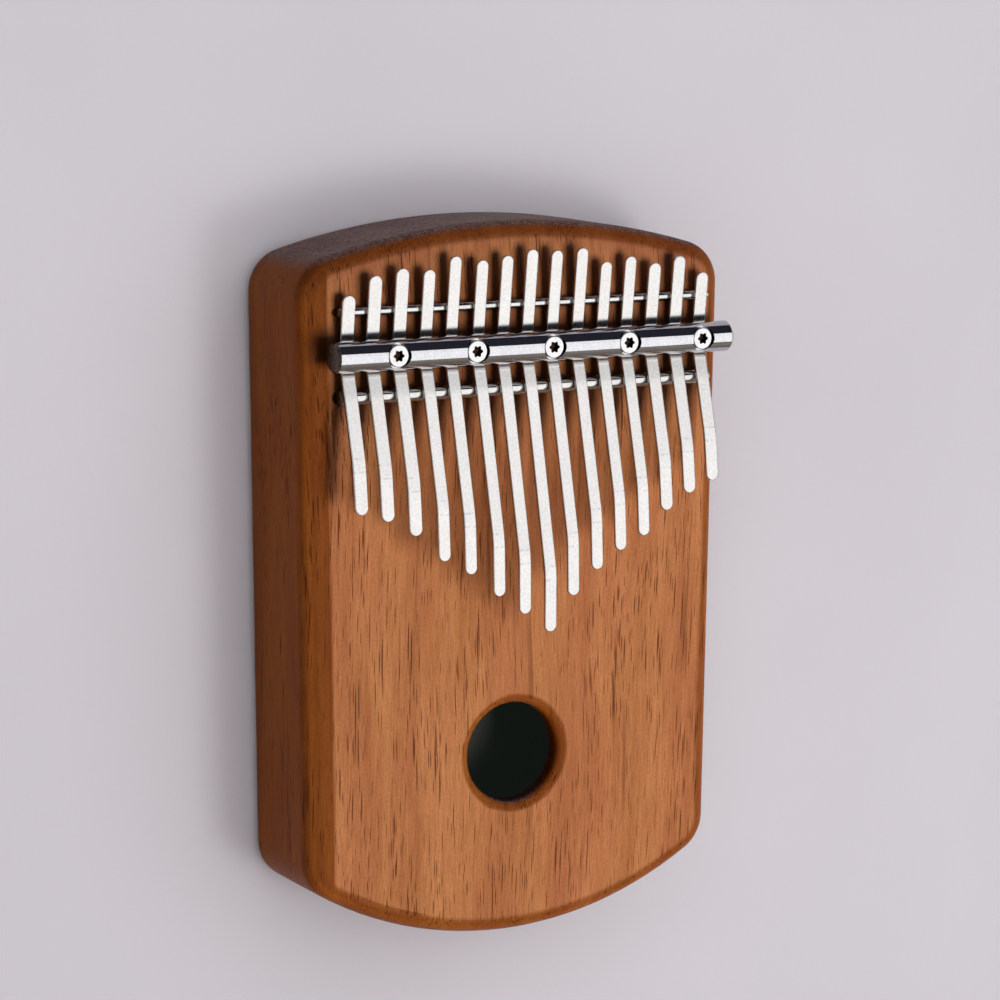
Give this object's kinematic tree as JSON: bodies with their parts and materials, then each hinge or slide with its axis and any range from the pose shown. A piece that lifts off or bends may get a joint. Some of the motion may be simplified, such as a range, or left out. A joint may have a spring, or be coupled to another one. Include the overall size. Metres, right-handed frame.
{
  "type": "mbira",
  "caption": "Thumb piano with a hollow hardwood box, a round sound hole, and flat steel tines clamped by a round steel bar over two bridge rods.",
  "frame": {"origin": "middle of the flat back, below the middle of the body's bounding box, the instrument lying on its back", "axes": "+X across the soundboard to the right, +Y along the tines from the playing tips to the tails, +Z out of the soundboard"},
  "size_m": [0.122, 0.1854, 0.0492],
  "materials": {
    "body_wood": "satin oiled mahogany",
    "back_wood": "satin oiled mahogany",
    "block_wood": "plain beech",
    "rod_steel": "bright drawn",
    "bar_steel": "polished",
    "screw_steel": "bright",
    "tine_steel": "satin"
  },
  "bodies": {
    "sound_box": {"body_shell": "body_wood", "back_plate": "back_wood", "screw_block": "block_wood", "bridge_rod": "rod_steel", "tail_rod": "rod_steel", "pressure_bar": "bar_steel", "bar_screws": "screw_steel"},
    "tine_01": {"tine_root_01": "tine_steel"},
    "tongue_01": {"tine_tongue_01": "tine_steel"},
    "tine_02": {"tine_root_02": "tine_steel"},
    "tongue_02": {"tine_tongue_02": "tine_steel"},
    "tine_03": {"tine_root_03": "tine_steel"},
    "tongue_03": {"tine_tongue_03": "tine_steel"},
    "tine_04": {"tine_root_04": "tine_steel"},
    "tongue_04": {"tine_tongue_04": "tine_steel"},
    "tine_05": {"tine_root_05": "tine_steel"},
    "tongue_05": {"tine_tongue_05": "tine_steel"},
    "tine_06": {"tine_root_06": "tine_steel"},
    "tongue_06": {"tine_tongue_06": "tine_steel"},
    "tine_07": {"tine_root_07": "tine_steel"},
    "tongue_07": {"tine_tongue_07": "tine_steel"},
    "tine_08": {"tine_root_08": "tine_steel"},
    "tongue_08": {"tine_tongue_08": "tine_steel"},
    "tine_09": {"tine_root_09": "tine_steel"},
    "tongue_09": {"tine_tongue_09": "tine_steel"},
    "tine_10": {"tine_root_10": "tine_steel"},
    "tongue_10": {"tine_tongue_10": "tine_steel"},
    "tine_11": {"tine_root_11": "tine_steel"},
    "tongue_11": {"tine_tongue_11": "tine_steel"},
    "tine_12": {"tine_root_12": "tine_steel"},
    "tongue_12": {"tine_tongue_12": "tine_steel"},
    "tine_13": {"tine_root_13": "tine_steel"},
    "tongue_13": {"tine_tongue_13": "tine_steel"},
    "tine_14": {"tine_root_14": "tine_steel"},
    "tongue_14": {"tine_tongue_14": "tine_steel"},
    "tine_15": {"tine_root_15": "tine_steel"},
    "tongue_15": {"tine_tongue_15": "tine_steel"}
  },
  "joints": [
    {"name": "tune_01", "type": "slide", "parent": "sound_box", "child": "tine_01", "axis": [0, 1, 0], "range_m": [-0.001, 0.001]},
    {"name": "pluck_01", "type": "hinge", "parent": "tine_01", "child": "tongue_01", "pos_m": [-0.0494, 0.0505, 0.03528], "axis": [1, 0, 0], "range_deg": [-1, 1], "stiffness_Nm_per_rad": 4.67},
    {"name": "tune_02", "type": "slide", "parent": "sound_box", "child": "tine_02", "axis": [0, 1, 0], "range_m": [-0.001, 0.001]},
    {"name": "pluck_02", "type": "hinge", "parent": "tine_02", "child": "tongue_02", "pos_m": [-0.0423, 0.0505, 0.03528], "axis": [1, 0, 0], "range_deg": [-1.2, 1.2], "stiffness_Nm_per_rad": 4.35},
    {"name": "tune_03", "type": "slide", "parent": "sound_box", "child": "tine_03", "axis": [0, 1, 0], "range_m": [-0.001, 0.001]},
    {"name": "pluck_03", "type": "hinge", "parent": "tine_03", "child": "tongue_03", "pos_m": [-0.0349, 0.0505, 0.03528], "axis": [1, 0, 0], "range_deg": [-1.5, 1.5], "stiffness_Nm_per_rad": 3.84},
    {"name": "tune_04", "type": "slide", "parent": "sound_box", "child": "tine_04", "axis": [0, 1, 0], "range_m": [-0.001, 0.001]},
    {"name": "pluck_04", "type": "hinge", "parent": "tine_04", "child": "tongue_04", "pos_m": [-0.0274, 0.0505, 0.03528], "axis": [1, 0, 0], "range_deg": [-2.4, 2.4], "stiffness_Nm_per_rad": 2.93},
    {"name": "tune_05", "type": "slide", "parent": "sound_box", "child": "tine_05", "axis": [0, 1, 0], "range_m": [-0.001, 0.001]},
    {"name": "pluck_05", "type": "hinge", "parent": "tine_05", "child": "tongue_05", "pos_m": [-0.0202, 0.0505, 0.03528], "axis": [1, 0, 0], "range_deg": [-2.9, 2.9], "stiffness_Nm_per_rad": 2.68},
    {"name": "tune_06", "type": "slide", "parent": "sound_box", "child": "tine_06", "axis": [0, 1, 0], "range_m": [-0.001, 0.001]},
    {"name": "pluck_06", "type": "hinge", "parent": "tine_06", "child": "tongue_06", "pos_m": [-0.0125, 0.0505, 0.03528], "axis": [1, 0, 0], "range_deg": [-3.7, 3.7], "stiffness_Nm_per_rad": 2.36},
    {"name": "tune_07", "type": "slide", "parent": "sound_box", "child": "tine_07", "axis": [0, 1, 0], "range_m": [-0.001, 0.001]},
    {"name": "pluck_07", "type": "hinge", "parent": "tine_07", "child": "tongue_07", "pos_m": [-0.0054, 0.0505, 0.03528], "axis": [1, 0, 0], "range_deg": [-4.5, 4.5], "stiffness_Nm_per_rad": 2.15},
    {"name": "tune_08", "type": "slide", "parent": "sound_box", "child": "tine_08", "axis": [0, 1, 0], "range_m": [-0.001, 0.001]},
    {"name": "pluck_08", "type": "hinge", "parent": "tine_08", "child": "tongue_08", "pos_m": [0.0017, 0.0505, 0.03528], "axis": [1, 0, 0], "range_deg": [-5.3, 5.3], "stiffness_Nm_per_rad": 1.97},
    {"name": "tune_09", "type": "slide", "parent": "sound_box", "child": "tine_09", "axis": [0, 1, 0], "range_m": [-0.001, 0.001]},
    {"name": "pluck_09", "type": "hinge", "parent": "tine_09", "child": "tongue_09", "pos_m": [0.0089, 0.0505, 0.03528], "axis": [1, 0, 0], "range_deg": [-3.9, 3.9], "stiffness_Nm_per_rad": 2.3},
    {"name": "tune_10", "type": "slide", "parent": "sound_box", "child": "tine_10", "axis": [0, 1, 0], "range_m": [-0.001, 0.001]},
    {"name": "pluck_10", "type": "hinge", "parent": "tine_10", "child": "tongue_10", "pos_m": [0.0163, 0.0505, 0.03528], "axis": [1, 0, 0], "range_deg": [-3.1, 3.1], "stiffness_Nm_per_rad": 2.59},
    {"name": "tune_11", "type": "slide", "parent": "sound_box", "child": "tine_11", "axis": [0, 1, 0], "range_m": [-0.001, 0.001]},
    {"name": "pluck_11", "type": "hinge", "parent": "tine_11", "child": "tongue_11", "pos_m": [0.0236, 0.0505, 0.03528], "axis": [1, 0, 0], "range_deg": [-2.5, 2.5], "stiffness_Nm_per_rad": 2.86},
    {"name": "tune_12", "type": "slide", "parent": "sound_box", "child": "tine_12", "axis": [0, 1, 0], "range_m": [-0.001, 0.001]},
    {"name": "pluck_12", "type": "hinge", "parent": "tine_12", "child": "tongue_12", "pos_m": [0.0308, 0.0505, 0.03528], "axis": [1, 0, 0], "range_deg": [-2.2, 2.2], "stiffness_Nm_per_rad": 3.09},
    {"name": "tune_13", "type": "slide", "parent": "sound_box", "child": "tine_13", "axis": [0, 1, 0], "range_m": [-0.001, 0.001]},
    {"name": "pluck_13", "type": "hinge", "parent": "tine_13", "child": "tongue_13", "pos_m": [0.0382, 0.0505, 0.03528], "axis": [1, 0, 0], "range_deg": [-1.4, 1.4], "stiffness_Nm_per_rad": 3.98},
    {"name": "tune_14", "type": "slide", "parent": "sound_box", "child": "tine_14", "axis": [0, 1, 0], "range_m": [-0.001, 0.001]},
    {"name": "pluck_14", "type": "hinge", "parent": "tine_14", "child": "tongue_14", "pos_m": [0.0455, 0.0505, 0.03528], "axis": [1, 0, 0], "range_deg": [-1.1, 1.1], "stiffness_Nm_per_rad": 4.51},
    {"name": "tune_15", "type": "slide", "parent": "sound_box", "child": "tine_15", "axis": [0, 1, 0], "range_m": [-0.001, 0.001]},
    {"name": "pluck_15", "type": "hinge", "parent": "tine_15", "child": "tongue_15", "pos_m": [0.0528, 0.0505, 0.03528], "axis": [1, 0, 0], "range_deg": [-0.9, 0.9], "stiffness_Nm_per_rad": 4.97}
  ]
}
